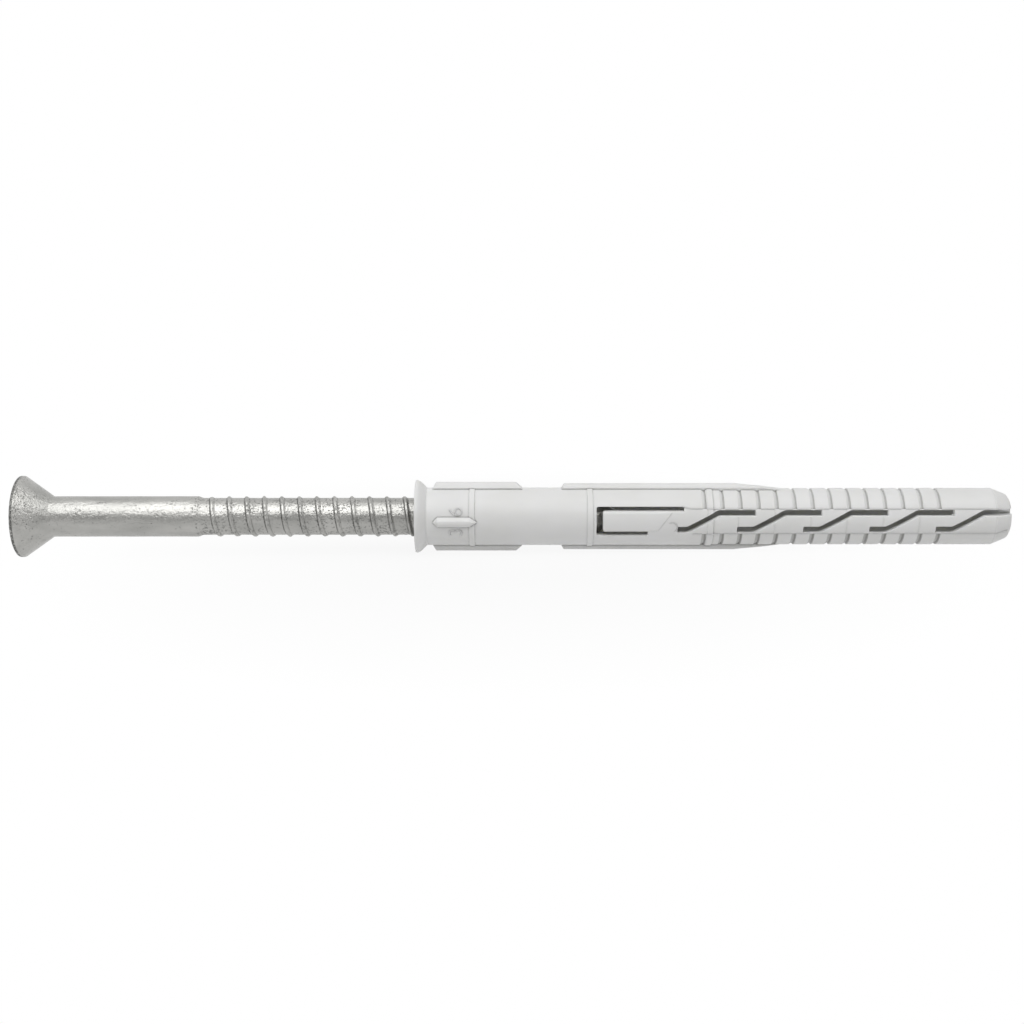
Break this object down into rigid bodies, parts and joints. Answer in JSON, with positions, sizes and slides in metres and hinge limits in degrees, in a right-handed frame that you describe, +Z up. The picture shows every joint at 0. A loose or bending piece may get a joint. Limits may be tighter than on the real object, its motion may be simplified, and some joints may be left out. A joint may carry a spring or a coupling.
{
  "type": "frame fixing",
  "caption": "Frame fixing lying on its side: a galvanised countersunk screw with a coarse thread, pre-fitted in a pale grey ribbed and slotted expansion sleeve.",
  "frame": {"origin": "centre of the fixing's bounding box, on the ground that it lies on", "axes": "+X along the fixing from the screw's head to the sleeve's tip, +Z up; the fixing's own axis dips 0.60 degrees towards the tip, because it rests on the rim of the head and on one long rib"},
  "size_m": [0.167, 0.0138, 0.0138],
  "materials": {
    "galvanised_steel": "hot-dip galvanised, dull silver with fine pits and specks",
    "pale_grey_nylon": "moulded nylon, satin"
  },
  "bodies": {
    "sleeve": {"sleeve": "pale_grey_nylon"},
    "screw": {"screw": "galvanised_steel"}
  },
  "joints": [
    {"name": "screw_drive", "type": "slide", "parent": "sleeve", "child": "screw", "axis": [0.9999, 0, -0.0104], "range_m": [-0.0348, 0.0642]}
  ]
}
